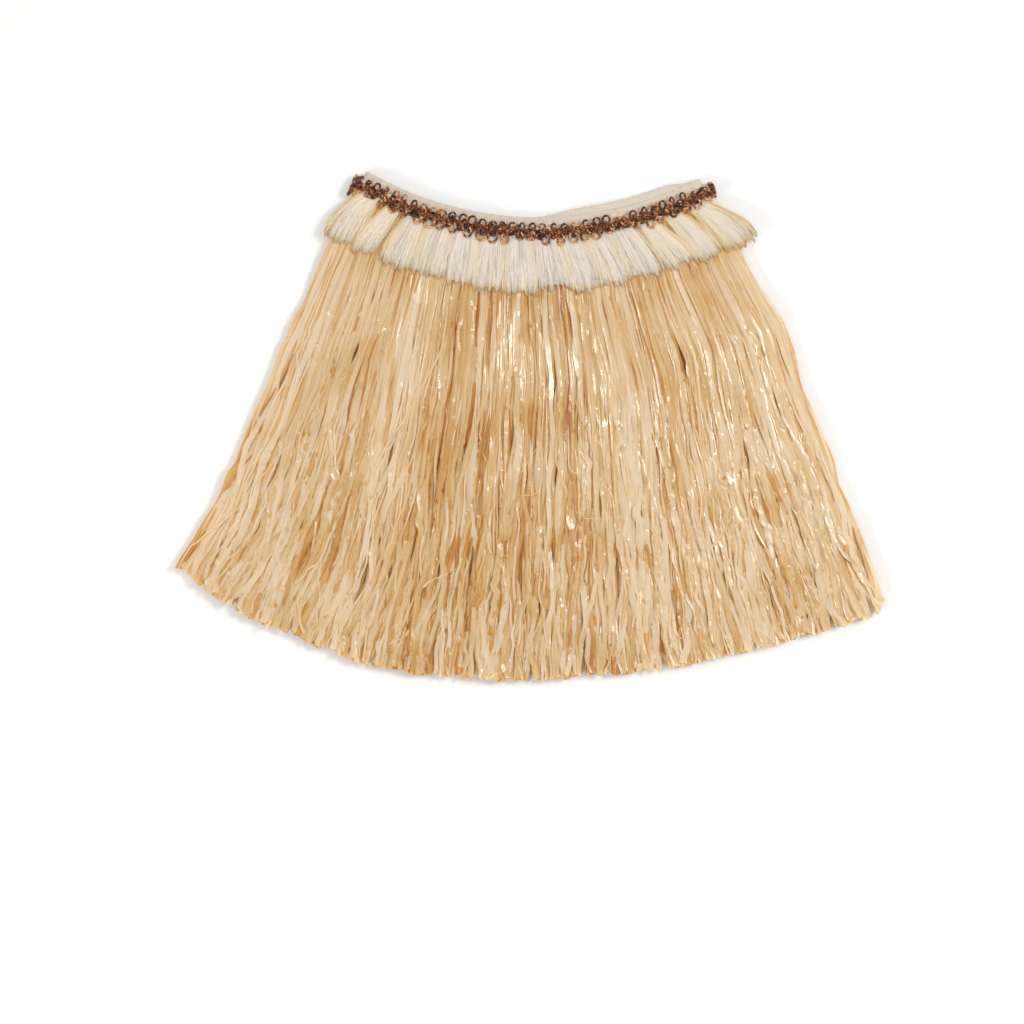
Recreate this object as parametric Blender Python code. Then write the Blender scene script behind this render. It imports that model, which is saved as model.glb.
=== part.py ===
"""A straw skirt laid flat on a surface, front up: an elastic waistband with a long straw fringe, a short
cream fringe over it and a looped braid sewn over both. Each is one length that goes all round the tube.

Run with: blender --background --python part.py

Metres, +Z up, the underside on Z = 0 and the footprint centred on the origin. +Y points to the waist.
Laid flat, the skirt is a fan: every strand lies along a ray from one apex beyond the waist, so a place is
given by its angle about that apex (0 points down the middle, positive to the right), its distance below
the waist line along the ray, and its height.
"""

import math
import random
from collections import namedtuple

import bmesh
import bpy
from mathutils import Vector

# The fan
WAIST_RADIUS = 0.391      # apex to the waist line, which is the middle of the braid, at the middle
WAIST_END_LIFT = 0.0074   # how far the waist line is nearer the apex at its two ends
FOLD_LEFT = math.radians(-24.15)    # the side folds of the tube at the waist
FOLD_RIGHT = math.radians(21.65)
BACK_LIFT = 0.0070        # the back of the waist shows this much above the front, on the right
BACK_LIFT_FROM, BACK_LIFT_TO = math.radians(-2), math.radians(6)
BACK_LIFT_ENDS = math.radians(5)    # it fades over this much before the right-hand fold

# Angles of the outermost locks at some distances below the waist line
Edge = namedtuple("Edge", "below left right")
STRAW_EDGES = (
    Edge(0.060, -24.6, 22.9), Edge(0.130, -24.5, 23.9), Edge(0.190, -24.2, 23.3),
    Edge(0.310, -24.0, 22.8), Edge(0.370, -24.6, 22.7),
)
CREAM_EDGES = (Edge(0.020, -25.1, 23.7), Edge(0.055, -25.4, 24.6))

# How far below the waist line each fringe hangs, round its hem
Hem = namedtuple("Hem", "degrees length")
STRAW_HEM = (
    Hem(-25, 0.366), Hem(-23, 0.375), Hem(-19, 0.384), Hem(-15, 0.387), Hem(-11, 0.394), Hem(0, 0.391),
    Hem(3, 0.388), Hem(14, 0.389), Hem(18, 0.392), Hem(22, 0.397), Hem(23, 0.391),
)
CREAM_HEM = (Hem(-25, 0.0540), Hem(25, 0.0540))
RAGGED = 0.0050           # how much shorter than the hem a lock may be
SLANT = 0.0030            # how far a cut end may slope across half a lock

# The tube's layers, as distances out from its middle, which lies at MIDDLE above the surface
MIDDLE = 0.0090
FOLD_STEPS = 5
Layer = namedtuple("Layer", "inner outer top bottom")   # top and bottom are below the waist line
WAISTBAND = Layer(0.0005, 0.0023, -0.0140, 0.0125)
STRAW_HEAD = Layer(0.0026, 0.0054, -0.0040, 0.0100)
CREAM_HEAD = Layer(0.0057, 0.0069, -0.0050, 0.0050)
BRAID = Layer(0.0072, 0.0090, -0.0052, 0.0054)
WAISTBAND_COLUMNS = 28

# The looped braid: lobes along both edges and a raised middle on the side that shows
BRAID_LOBES = 36
LOBE_STEPS = 4
LOBE_PHASE = 0.4
LOBE_REACH = 0.0040
SMALL_LOBE = 0.45         # every third lower lobe is this much of a whole one
BACK_LOBE = 0.6           # the plain side's edges, as a share of a lobe
BRAID_RIDGE = 0.0009
BRAID_BACK_COLUMNS = 24

# The locks' sections. Widths and waves are shares of the space between the locks of a row, full is the
# distance from the head at which a lock has its full size, and settles is where its ray has bent from
# its root to its own place in the fan.
Lock = namedtuple("Lock", "full settles width_start width_full thick_start thick_full wave twist")
STRAW_LOCK = Lock(full=0.080, settles=0.050, width_start=0.50, width_full=0.70,
                  thick_start=0.0011, thick_full=0.0028, wave=0.10, twist=math.radians(4))
CREAM_LOCK = Lock(full=0.030, settles=0.020, width_start=0.50, width_full=0.88,
                  thick_start=0.0009, thick_full=0.0019, wave=0.04, twist=math.radians(3))
ROOT = 0.0015             # the first section of a lock, this far from its head
ROOT_CLEAR = 0.0030       # a lock starts to wave here
STATION_POWER = 1.25      # the sections are closer together near the head
WAVE_LENGTH = 0.17
LIFT_WAVE = 0.00025       # wave in height
LIFT_TURNS = 1.7          # and how much faster it goes than the sideways one
CROWN = 0.0022            # the front straw lies this much higher in the middle of the skirt
CROWN_RISES = (0.040, 0.140)
CROWN_FALLS = (0.300, 0.380)
CROWN_SPREAD = 0.7        # the lower, the nearer it comes to the sides

# Heights of the middle of a row of locks: at the head, from under to the next, and lying free from free
Heights = namedtuple("Heights", "head held laid held_until laid_from")
FRONT_OUTER = Heights(0.0137, 0.0133, 0.0129, 0.050, 0.110)
FRONT_INNER = Heights(0.0123, 0.0100, 0.0092, 0.050, 0.110)
BACK_INNER = Heights(0.0057, 0.0066, 0.0053, 0.050, 0.110)
BACK_OUTER = Heights(0.0043, 0.0035, 0.0014, 0.050, 0.110)      # half a lock, so it lies on the surface
CREAM_FRONT = Heights(0.0153, 0.0169, 0.0167, 0.018, 0.050)
CREAM_BACK = Heights(0.0027, 0.00095, 0.00095, 0.030, 0.050)    # likewise

# One side of a fringe. Its rows take the columns in turn, and the faces are those of the head's section
# that the rows grow from.
Side = namedtuple("Side", "columns head shape edges hem steps faces rows is_back crowned")
STRAW_FRONT = Side(100, STRAW_HEAD, STRAW_LOCK, STRAW_EDGES, STRAW_HEM, 5, (3, 4),
                   (FRONT_OUTER, FRONT_INNER), is_back=False, crowned=True)
STRAW_BACK = Side(72, STRAW_HEAD, STRAW_LOCK, STRAW_EDGES, STRAW_HEM, 4, (3, 4),
                  (BACK_OUTER, BACK_INNER), is_back=True, crowned=False)
CREAM_FRONT_SIDE = Side(28, CREAM_HEAD, CREAM_LOCK, CREAM_EDGES, CREAM_HEM, 4, (3,),
                        (CREAM_FRONT,), is_back=False, crowned=False)
CREAM_BACK_SIDE = Side(24, CREAM_HEAD, CREAM_LOCK, CREAM_EDGES, CREAM_HEM, 3, (3,),
                       (CREAM_BACK,), is_back=True, crowned=False)
LIES_ON_SURFACE = (BACK_OUTER, CREAM_BACK)

STRAW_SEED, CREAM_SEED = 5, 6
UP = Vector((0, 0, 1))


def smooth(low, high, x):
    """0 below low, 1 above high, with an even slope between."""
    t = min(1.0, max(0.0, (x - low) / (high - low)))
    return t * t * (3 - 2 * t)


def between(a, b, share):
    return a + (b - a) * share


def read_table(rows, x):
    """The table's row for x, its first column, worked out between the rows on either side."""
    for low, high in zip(rows, rows[1:]):
        if x <= high[0]:
            share = max(0.0, (x - low[0]) / (high[0] - low[0]))
            return type(low)(*(between(a, b, share) for a, b in zip(low, high)))
    return rows[-1]


def waist_radius(angle):
    """Apex to the waist line along the ray at this angle."""
    half = (FOLD_RIGHT - FOLD_LEFT) / 2
    from_middle = (angle - (FOLD_LEFT + FOLD_RIGHT) / 2) / half
    return WAIST_RADIUS - WAIST_END_LIFT * from_middle ** 2


def back_shift(angle):
    """How much nearer the apex the back of the tube lies than its front."""
    rises = smooth(BACK_LIFT_FROM, BACK_LIFT_TO, angle)
    ends = 1 - smooth(FOLD_RIGHT - BACK_LIFT_ENDS, FOLD_RIGHT, angle)
    return BACK_LIFT * rises * ends


def fan_point(angle, radius, height):
    """A point of the fan, with the apex at the origin of X and Y."""
    return Vector((radius * math.sin(angle), -radius * math.cos(angle), height))


def across(angle):
    """The direction along the waist, to the right."""
    return Vector((math.cos(angle), math.sin(angle), 0))


def tube_point(angle, turn, offset, below):
    """A point of the flattened tube. turn is 0 on the front, pi on the back, and between them at a fold."""
    back = (1 - math.cos(turn)) / 2
    radius = waist_radius(angle) + below - back_shift(angle) * back
    flat = fan_point(angle, radius, MIDDLE + offset * math.cos(turn))
    return flat + across(angle) * offset * math.sin(turn)


def tube_stations(front, back):
    """(angle, turn) all round the tube: the front in so many columns, a fold, the back, and a fold."""
    stations = [(between(FOLD_LEFT, FOLD_RIGHT, i / front), 0.0) for i in range(front + 1)]
    stations += [(FOLD_RIGHT, math.pi * i / FOLD_STEPS) for i in range(1, FOLD_STEPS)]
    stations += [(between(FOLD_RIGHT, FOLD_LEFT, i / back), math.pi) for i in range(back + 1)]
    stations += [(FOLD_LEFT, math.pi + math.pi * i / FOLD_STEPS) for i in range(1, FOLD_STEPS)]
    return stations


def add_tube(bm, stations, section):
    """Adds a closed wall round the tube. section gives the corners, as (offset, below), at a station.
    Returns the faces, station by station, each station's in the order of the corners they end at."""
    rings = []
    for number, (angle, turn) in enumerate(stations):
        corners = section(number, turn)
        rings.append([bm.verts.new(tube_point(angle, turn, *corner)) for corner in corners])
    faces = []
    for ring, following in zip(rings, rings[1:] + rings[:1]):
        faces.append([
            bm.faces.new((ring[j], following[j], following[j - 1], ring[j - 1]))
            for j in range(len(ring))
        ])
    return faces


def strip_corners(layer, on_bottom=()):
    """The corners of a strip's section, with extra ones on its lower edge where that is split."""
    bottom = [(offset, layer.bottom) for offset in on_bottom]
    return [
        (layer.inner, layer.top), (layer.outer, layer.top), (layer.outer, layer.bottom),
        *bottom, (layer.inner, layer.bottom),
    ]


def finish(bm, name, colour, roughness):
    """Makes the mesh an object of that name with its own material."""
    bmesh.ops.recalc_face_normals(bm, faces=bm.faces)
    mesh = bpy.data.meshes.new(name)
    bm.to_mesh(mesh)
    bm.free()
    material = bpy.data.materials.new(name)
    material.use_nodes = True
    shader = material.node_tree.nodes["Principled BSDF"]
    shader.inputs["Base Color"].default_value = (*colour, 1)
    shader.inputs["Roughness"].default_value = roughness
    shader.inputs["Metallic"].default_value = 0
    mesh.materials.append(material)
    made = bpy.data.objects.new(name, mesh)
    bpy.context.scene.collection.objects.link(made)
    return made


def crown(share, along):
    """The extra height of the front straw: none at the head, the hem and the sides."""
    sides = math.sin(math.pi * share) ** CROWN_SPREAD
    return CROWN * sides * smooth(*CROWN_RISES, along) * (1 - smooth(*CROWN_FALLS, along))


def row_height(row, along):
    """The height of a row's middle this far from its head."""
    held = between(row.head, row.held, smooth(0, row.held_until, along))
    return between(held, row.laid, smooth(row.held_until, row.laid_from, along))


def lock_path(side, row, column, spacing, rng):
    """The path of the lock that grows from this column: a function that gives its angle, radius, height
    and twist at a distance from the head, and its whole length."""
    shape = side.shape
    loose = 0.0 if row in LIES_ON_SURFACE else 1.0
    from_left = side.columns - 1 - column if side.is_back else column
    head_angle = between(FOLD_LEFT, FOLD_RIGHT, (from_left + 0.5) / side.columns)
    share = from_left / (side.columns - 1)
    shift = back_shift(head_angle) if side.is_back else 0.0
    phase, lift_phase = rng.uniform(0, 2 * math.pi), rng.uniform(0, 2 * math.pi)
    swing = rng.uniform(0.4, 1.0) * shape.wave * spacing * loose
    most_twist = rng.uniform(-1, 1) * shape.twist * loose

    def fan_angle(below):
        edge = read_table(side.edges, below)
        return math.radians(between(edge.left, edge.right, share))

    def place(along):
        free = smooth(ROOT_CLEAR, shape.settles, along)
        turn = 2 * math.pi * along / WAVE_LENGTH
        below = side.head.bottom + along
        angle = between(head_angle, fan_angle(below), smooth(0, shape.settles, along))
        angle += swing * free * math.sin(turn + phase)
        height = row_height(row, along) + loose * LIFT_WAVE * free * math.sin(LIFT_TURNS * turn + lift_phase)
        if side.crowned:
            height += crown(share, along)
        return angle, waist_radius(head_angle) + below - shift, height, most_twist * free

    last = math.degrees(fan_angle(side.hem[0].length))
    length = read_table(side.hem, last).length - side.head.bottom + shift
    return place, length - rng.uniform(-0.1, 1.0) * RAGGED


def grow_lock(bm, root, shape, spacing, place, stations, slant):
    """Extrudes a lock from a face of its head, a section at a time, with its cut end sloping by slant."""
    middle = root.calc_center_median()
    sideways = across(math.atan2(middle.x, -middle.y))
    signs = [
        (math.copysign(1, (v.co - middle).dot(sideways)), math.copysign(1, v.co.z - middle.z))
        for v in root.verts
    ]
    face = root
    for along in stations:
        angle, radius, height, twist = place(along)
        share = smooth(ROOT, shape.full, along)
        width = between(shape.width_start, shape.width_full, share) * spacing * radius
        thick = between(shape.thick_start, shape.thick_full, share)
        side = across(angle) * math.cos(twist) + UP * math.sin(twist)
        up = UP * math.cos(twist) - across(angle) * math.sin(twist)
        slope = fan_point(angle, slant if along == stations[-1] else 0.0, 0)
        face = bmesh.ops.extrude_discrete_faces(bm, faces=[face])["faces"][0]
        for vert, (right, top) in zip(face.verts, signs):
            corner = side * (right * width / 2) + up * (top * thick / 2) + slope * right
            vert.co = fan_point(angle, radius, height) + corner


def grow_side(bm, faces, side, rng):
    """Grows a lock below each of these stations' faces, which go round the tube."""
    rows = len(side.rows)
    widest = side.edges[-1]
    spacing = math.radians(widest.right - widest.left) / (side.columns - 1) * rows
    for column, station in enumerate(faces):
        row = side.rows[column % rows]
        place, length = lock_path(side, row, column, spacing, rng)
        stations = [ROOT] + [
            between(ROOT, length, ((i + 1) / side.steps) ** STATION_POWER) for i in range(side.steps)
        ]
        slant = rng.uniform(-SLANT, SLANT)
        grow_lock(bm, station[side.faces[column % rows]], side.shape, spacing, place, stations, slant)


def make_fringe(name, corners, front, back, seed, colour, roughness):
    """A strip round the tube, and the locks below it on both sides."""
    rng = random.Random(seed)
    bm = bmesh.new()
    faces = add_tube(bm, tube_stations(front.columns, back.columns), lambda number, turn: corners)
    back_begins = front.columns + FOLD_STEPS
    grow_side(bm, faces[:front.columns], front, rng)
    grow_side(bm, faces[back_begins:back_begins + back.columns], back, rng)
    return finish(bm, name, colour, roughness)


def make_straw_fringe():
    """Two rows of locks on each side, one over the other and half a lock apart."""
    split = (STRAW_HEAD.inner + STRAW_HEAD.outer) / 2
    corners = strip_corners(STRAW_HEAD, on_bottom=(split,))
    return make_fringe("straw_fringe", corners, STRAW_FRONT, STRAW_BACK, STRAW_SEED, (0.72, 0.50, 0.26), 0.45)


def make_cream_fringe():
    """One row of tufts on each side. It covers the straw's head."""
    corners = strip_corners(CREAM_HEAD)
    return make_fringe("cream_fringe", corners, CREAM_FRONT_SIDE, CREAM_BACK_SIDE, CREAM_SEED,
                       (0.84, 0.79, 0.70), 0.85)


def make_waistband():
    bm = bmesh.new()
    corners = strip_corners(WAISTBAND)
    add_tube(bm, tube_stations(WAISTBAND_COLUMNS, WAISTBAND_COLUMNS), lambda number, turn: corners)
    return finish(bm, "waistband", (0.80, 0.74, 0.64), 0.9)


def make_braid():
    """A strip with lobes of looped cord along both edges, plain on the side that lies on the surface."""
    bm = bmesh.new()
    front = BRAID_LOBES * LOBE_STEPS

    def section(number, turn):
        shows = max(0.0, math.cos(turn))
        on_front = number <= front
        lobe = abs(math.sin(math.pi * number / LOBE_STEPS + LOBE_PHASE)) if on_front else BACK_LOBE
        lower = SMALL_LOBE if on_front and (number // LOBE_STEPS) % 3 == 2 else 1.0
        top = BRAID.top - LOBE_REACH * lobe
        bottom = BRAID.bottom + LOBE_REACH * (1 - lobe / 2) * lower
        ridge = BRAID.outer + BRAID_RIDGE * shows * (1 + lobe) / 2
        return [
            (BRAID.inner, top), (BRAID.outer, top), (ridge, 0.0), (BRAID.outer, bottom),
            (BRAID.inner, bottom),
        ]

    add_tube(bm, tube_stations(front, BRAID_BACK_COLUMNS), section)
    return finish(bm, "braid", (0.13, 0.055, 0.028), 0.35)


def centre_footprint(made):
    """Moves the pieces so that the middle of their footprint is over the origin."""
    points = [v.co for item in made for v in item.data.vertices]
    middle_x = (min(p.x for p in points) + max(p.x for p in points)) / 2
    middle_y = (min(p.y for p in points) + max(p.y for p in points)) / 2
    for item in made:
        item.location = (-middle_x, -middle_y, 0)


def main():
    for old in list(bpy.data.objects):
        bpy.data.objects.remove(old)
    centre_footprint([make_waistband(), make_straw_fringe(), make_cream_fringe(), make_braid()])


main()
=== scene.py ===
"""The looks of a straw skirt laid flat, front up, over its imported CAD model.

The fan, the tube of the waist and its layers repeat the model's sizes, in metres. Every strand lies along a
ray from one apex beyond the waist, so a place is given by its angle about that apex, its distance below the
waist line along the ray, and its height. Strands are swept over arrays: strands by stations by corners.
"""

import math

import bpy
import numpy as np
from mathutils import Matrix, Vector


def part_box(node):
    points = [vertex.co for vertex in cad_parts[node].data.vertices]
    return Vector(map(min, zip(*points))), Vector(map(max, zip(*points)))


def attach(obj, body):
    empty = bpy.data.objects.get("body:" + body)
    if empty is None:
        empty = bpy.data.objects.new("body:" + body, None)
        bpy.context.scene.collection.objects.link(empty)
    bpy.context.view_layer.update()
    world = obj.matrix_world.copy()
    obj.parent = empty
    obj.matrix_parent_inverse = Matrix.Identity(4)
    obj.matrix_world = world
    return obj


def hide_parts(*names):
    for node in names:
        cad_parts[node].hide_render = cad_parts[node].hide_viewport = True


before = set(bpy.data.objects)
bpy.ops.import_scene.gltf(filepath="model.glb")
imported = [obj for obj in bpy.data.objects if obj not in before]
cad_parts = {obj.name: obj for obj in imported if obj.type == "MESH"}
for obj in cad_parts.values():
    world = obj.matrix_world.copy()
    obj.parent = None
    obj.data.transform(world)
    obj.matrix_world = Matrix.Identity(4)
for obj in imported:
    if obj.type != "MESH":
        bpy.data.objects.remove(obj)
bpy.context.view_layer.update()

bl_info = {
    "name": "Straw Skirt Laid Flat",
    "version": (1, 0, 0),
    "blender": (4, 5, 0),
    "location": "3D View > Sidebar > Straw Skirt",
    "description": "Waistband, straw, cream fringe and looped braid over the packed skirt",
    "category": "Object",
}

BAKE_MAP = "OFBake"
UPWARDS = np.array((0.0, 0.0, 1.0))
PHASES = (0, 6.28)        # the least and most that a wave is shifted by

# The fan, as in the model
WAIST_RADIUS = 0.391      # apex to the waist line, which is the middle of the braid, at the middle
WAIST_END_LIFT = 0.0074   # how far the waist line is nearer the apex at its two ends
FOLD_LEFT, FOLD_RIGHT = math.radians(-24.15), math.radians(21.65)
BACK_LIFT = 0.0070        # the back of the waist shows this much above the front, on the right
BACK_LIFT_FROM, BACK_LIFT_TO = math.radians(-2), math.radians(6)
BACK_LIFT_ENDS = math.radians(5)
STRAW_EDGES = ((0.060, 0.130, 0.190, 0.310, 0.370), (-24.6, -24.5, -24.2, -24.0, -24.6),
               (22.9, 23.9, 23.3, 22.8, 22.7))
CREAM_EDGES = ((0.020, 0.055), (-25.1, -25.4), (23.7, 24.6))
STRAW_HEM = ((-25, -23, -19, -15, -11, 0, 3, 14, 18, 22, 23),
             (0.366, 0.375, 0.384, 0.387, 0.394, 0.391, 0.388, 0.389, 0.392, 0.397, 0.391))
CREAM_HEM = 0.0540
CREAM_HEM_WIDTH = 0.44 * math.radians(49)

# The tube's layers: distances out from its middle, and below the waist line
MIDDLE = 0.0090
WAISTBAND = dict(inner=0.0005, outer=0.0023, top=-0.0140, bottom=0.0125)
STRAW_HEAD = dict(inner=0.0026, outer=0.0054, top=-0.0040, bottom=0.0100)
CREAM_HEAD = dict(inner=0.0057, outer=0.0069, top=-0.0050, bottom=0.0050)
MODEL_COLUMNS, MODEL_FOLD_STEPS = 28, 5

# The map of a strand is an upright strip, and its caps lie below MAP_LOW and above MAP_HIGH
STRAW_STRIPS, CREAM_STRIPS, CORD_STRIPS = 64, 32, 16
MAP_LOW, MAP_HIGH = 0.012, 0.988

# Straw: lengths in metres and angles that each ribbon draws for itself, between a low and a high
WAVE_LONG, WAVE_SHORT = (0.07, 0.18), (0.022, 0.045)
LEVEL_WAVE, TWIST_WAVE = (0.06, 0.15), (0.06, 0.18)
CREASE_WAVE, WIDTH_WAVE = (0.04, 0.10), (0.03, 0.09)
CRIMP_REACH, CRIMP_SWING, CRIMP_WAVE = (0.007, 0.016), (0.0008, 0.0026), (0.014, 0.026)
TIP_REACH = (0.012, 0.030)
HOOK_START, HOOK_TURN, HOOK_REACH = (0.014, 0.040), (0.4, 1.9), (0.006, 0.024)
HOOKED_LENGTH, HOOKED_WIDTH = (0.55, 0.98), 0.55   # shares of what other ribbons have
END_SLANT = 0.0013
RIBBON_START = STRAW_HEAD["bottom"] - 0.004
RIBBON_FLOOR = 0.0002     # the lowest that a ribbon lies
STRAW_RAGGED = 0.0060     # how much shorter than the hem a ribbon may be
LONGEST_PAST_HEM = 0.0016
PAST_HEM, PAST_SIDE = 0.0005, 0.0018   # how far past the outline a ribbon may end or lie
SIDE_STRIP = (0.01, 0.05)   # how far in from the sides ribbons lie flatter, as shares of the waist
SLITS = 15                # slits in the hem
# The lowest and highest that ribbons lie, each at distances below the waist line
FRONT_LOW = ((0, 0.05, 0.11), (0.0118, 0.0102, 0.0086))
FRONT_HIGH = ((0, 0.02, 0.05), (0.0138, 0.0146, 0.0142))
BACK_LOW = ((0, 0.05, 0.11), (0.0032, 0.0014, 0.0004))
BACK_HIGH = ((0, 0.05, 0.11), (0.0060, 0.0068, 0.0066))
CROWN = 0.0022            # how much higher they lie down the middle than at the sides
CROWN_RISES, CROWN_FALLS = (0.040, 0.140), (0.300, 0.380)
BUNDLE_SEED, SLIT_SEED = 11, 17
# What is drawn for each bundle: shares of how far it draws in and sways, lengths in metres, a tone
BUNDLE = dict(squeeze=(0.35, 0.90), squeeze_length=(0.045, 0.13), squeeze_phase=PHASES,
              sway_length=(0.12, 0.30), sway_phase=PHASES, sway=(0.3, 1.0), tint=(-0.15, 0.15),
              cut=(0, 0.0040))

# Cream fringe
LOCKS = 9                 # locks in a tuft
TUFT_INSET = 0.30         # how far in the end tufts hang, as a share of the space of one
THREAD_START = CREAM_HEAD["bottom"] - 0.003
THREAD_WAVE, THREAD_BUMP = (0.014, 0.034), (0.012, 0.030)   # lengths of its waves sideways and up
THREAD_CORNERS = 3
TUFT_TOP = 0.0152         # the height of the front tufts at their sides, by the braid
CORE_LOW, BACK_LOWEST = 0.0138, 0.0002   # the lowest that a front tuft and a back one reach
CORE_POINTS = 7, 3        # over and under a core
STRAND_FLOOR = 0.0001     # the lowest that a thread or a cord lies

# Braid: its rows of loops, each a cord. loops, reach and swing are shares of what the settings give,
# side is -1 above the waist line and 1 below, shift is in loops, tones are the least and most, flat is
# the share of loops that lie flat, and past is how far they start on the other side of the line.
BRAID_OUT = 0.0080        # how far out of the middle of the tube its length is measured
CORD_OUT, FRONT_OUT = 0.0082, 0.0012     # how far out its cord lies behind, and how much more in front
CORD_LIFT, FRONT_LIFT = 0.0004, 0.0013   # how far its loops rise and sink behind, and the same
LOOP_STEPS, CORD_CORNERS = 24, 7
BRAID_ROWS = (
    dict(loops=1.0, side=-1, shift=0.0, reach=1.0, swing=1.0, tones=(0.3, 0.8), flat=0.10, past=0.0014),
    # The lower row's lighter tones take the painted highlight at its loop tips.
    dict(loops=0.8, side=1, shift=0.46, reach=1.22, swing=1.25, tones=(0.6, 1.0), flat=0.12, past=0.0014),
    dict(loops=0.8, side=-1, shift=0.2, reach=0.86, swing=0.95, tones=(0.1, 0.8), flat=0.0, past=0.0038),
    dict(loops=0.9, side=1, shift=0.7, reach=0.84, swing=0.90, tones=(0.1, 0.9), flat=0.0, past=0.0024),
)

# Camera, which looks straight down
CAMERA_HEIGHT = 2.2
PHOTO_WIDTH = 0.894       # what the photograph's width takes in at the height of the straw
PHOTO_LEVEL = 0.012       # that height
PHOTO_MIDDLE = (-0.0175, -0.0746)   # what lies at its middle


def display(red, green, blue):
    """A colour as a screen shows it, 0 to 255, as the linear colour that Blender works in."""
    shares = np.array((red, green, blue)) / 255
    linear = np.where(shares <= 0.04045, shares / 12.92, ((shares + 0.055) / 1.055) ** 2.4)
    return tuple(float(x) for x in linear)


def smooth(low, high, x):
    """0 below low, 1 above high, with an even slope between."""
    t = np.clip((x - low) / (high - low), 0, 1)
    return t * t * (3 - 2 * t)


def wave(x, length, phase):
    return np.sin(2 * math.pi * x / length + phase)


def draws_for(rng, count):
    """Two ways to draw a column, a number for each strand: evenly from low to high, and as waves that
    each have a length between these and a phase of their own."""
    def each(low, high):
        return rng.uniform(low, high, (count, 1))

    def own_wave(x, lengths):
        return wave(x, each(*lengths), each(*PHASES))

    return each, own_wave


def waist_radius(angle):
    half = (FOLD_RIGHT - FOLD_LEFT) / 2
    return WAIST_RADIUS - WAIST_END_LIFT * ((angle - (FOLD_LEFT + FOLD_RIGHT) / 2) / half) ** 2


def back_shift(angle):
    """How much nearer the apex the back of the tube lies than its front."""
    ends = 1 - smooth(FOLD_RIGHT - BACK_LIFT_ENDS, FOLD_RIGHT, angle)
    return BACK_LIFT * smooth(BACK_LIFT_FROM, BACK_LIFT_TO, angle) * ends


def tube_point(angle, turn, offset, below, apex):
    """Points of the flattened tube. turn is 0 on the front, pi on the back, and between them at a fold."""
    radius = waist_radius(angle) + below - back_shift(angle) * (1 - np.cos(turn)) / 2
    out = offset * np.sin(turn)
    x = apex[0] + radius * np.sin(angle) + out * np.cos(angle)
    y = apex[1] - radius * np.cos(angle) + out * np.sin(angle)
    return np.stack(np.broadcast_arrays(x, y, MIDDLE + offset * np.cos(turn)), -1)


def find_apex():
    """The fan's apex, from where the model's own waistband lies."""
    front = np.linspace(FOLD_LEFT, FOLD_RIGHT, MODEL_COLUMNS + 1)
    fold = np.arange(1, MODEL_FOLD_STEPS) * math.pi / MODEL_FOLD_STEPS
    angle = np.concatenate([front, 0 * fold + FOLD_RIGHT, front[::-1], 0 * fold + FOLD_LEFT])
    turn = np.concatenate([0 * front, fold, 0 * front + math.pi, fold + math.pi])
    rings = [
        tube_point(angle, turn, WAISTBAND[side], WAISTBAND[edge], (0, 0))
        for side in ("inner", "outer") for edge in ("top", "bottom")
    ]
    points = np.concatenate(rings)
    low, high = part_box("waistband")
    middle = (points.min(0) + points.max(0)) / 2
    return (low.x + high.x) / 2 - middle[0], (low.y + high.y) / 2 - middle[1]


APEX = find_apex()


def round_tube(distance, offset):
    """(angle, turn) at these distances round the tube: the front from the left, a fold, the back and a
    fold."""
    width = WAIST_RADIUS * (FOLD_RIGHT - FOLD_LEFT)
    fold = math.pi * offset
    ends = np.cumsum([0, width, fold, width, fold])
    distance = np.mod(distance, ends[-1])
    angle = np.interp(distance, ends, (FOLD_LEFT, FOLD_RIGHT, FOLD_RIGHT, FOLD_LEFT, FOLD_LEFT))
    turn = np.interp(distance, ends, (0, 0, math.pi, math.pi, 2 * math.pi))
    return angle, turn


def tube_length(offset):
    return 2 * WAIST_RADIUS * (FOLD_RIGHT - FOLD_LEFT) + 2 * math.pi * offset


def fan_point(angle, radius, height):
    x = APEX[0] + radius * np.sin(angle)
    y = APEX[1] - radius * np.cos(angle)
    return np.stack(np.broadcast_arrays(x, y, height), -1)


def edges_at(edges, below):
    """The angles of a fringe's two sides at these distances below the waist line."""
    return [np.radians(np.interp(below, edges[0], side)) for side in edges[1:]]


def unit(vectors):
    return vectors / np.maximum(np.linalg.norm(vectors, axis=-1, keepdims=True), 1e-9)


def path_frames(paths, normal):
    """The direction along each path, and from it the one to its right and the one out of the surface."""
    along = unit(np.gradient(paths, axis=-2))
    right = unit(np.cross(normal, along))
    return along, right, np.cross(along, right)


def turned(right, up, angle):
    cos, sin = np.cos(angle)[..., None], np.sin(angle)[..., None]
    return right * cos + up * sin, up * cos - right * sin


def ring_points(path, right, up, radius, corners):
    """Corners round a path, clockwise seen from its tip, and none of them in the surface it lies on."""
    spin = math.pi - np.arange(corners) * 2 * math.pi / corners
    points = np.stack([path + radius * (right * math.cos(a) + up * math.sin(a)) for a in spin], -2)
    points[..., 2] = np.maximum(points[..., 2], STRAND_FLOOR)
    return points


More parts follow.
